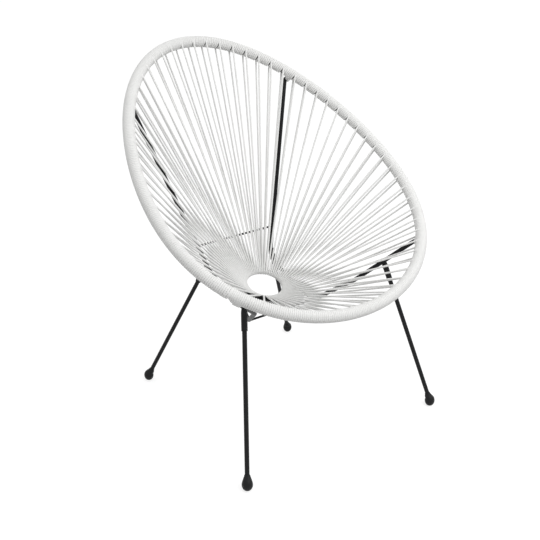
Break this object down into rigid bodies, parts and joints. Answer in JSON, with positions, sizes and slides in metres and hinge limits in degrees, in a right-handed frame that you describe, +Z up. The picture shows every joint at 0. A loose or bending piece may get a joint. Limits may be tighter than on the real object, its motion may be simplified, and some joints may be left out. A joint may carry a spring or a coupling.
{
  "type": "acapulco lounge chair",
  "caption": "Low lounge chair with an egg-shaped bucket seat of radial cords strung from a wrapped rim to a small centre ring, on bent steel bows and straight splayed legs.",
  "frame": {"origin": "on the floor, under the middle of the chair's bounding box", "axes": "+Z up, -Y the way the sitter faces, +X towards the sitter's left hand"},
  "size_m": [0.7212, 0.7354, 0.8902],
  "materials": {
    "cord": "semi-gloss solid round cord, off-white",
    "frame": "satin near-black powder coat",
    "feet": "satin near-black moulded plastic"
  },
  "bodies": {
    "root": {"cord_panel_01": "cord", "cord_panel_02": "cord", "cord_panel_03": "cord", "cord_panel_04": "cord", "cord_panel_05": "cord", "cord_panel_06": "cord", "cord_panel_07": "cord", "cord_panel_08": "cord", "cord_panel_09": "cord", "cord_panel_10": "cord", "cord_panel_11": "cord", "cord_panel_12": "cord", "cord_panel_13": "cord", "cord_panel_14": "cord", "cord_panel_15": "cord", "cord_panel_16": "cord", "cord_panel_17": "cord", "cord_panel_18": "cord", "cord_panel_19": "cord", "cord_panel_20": "cord", "cord_panel_21": "cord", "cord_panel_22": "cord", "rim_tube": "frame", "centre_ring": "frame", "left_bow": "frame", "right_bow": "frame", "front_cross_rod": "frame", "rear_cross_rod": "frame", "front_left_socket": "frame", "front_left_leg": "frame", "front_right_socket": "frame", "front_right_leg": "frame", "rear_left_socket": "frame", "rear_left_leg": "frame", "rear_right_socket": "frame", "rear_right_leg": "frame", "front_left_foot": "feet", "front_right_foot": "feet", "rear_left_foot": "feet", "rear_right_foot": "feet"}
  },
  "joints": []
}
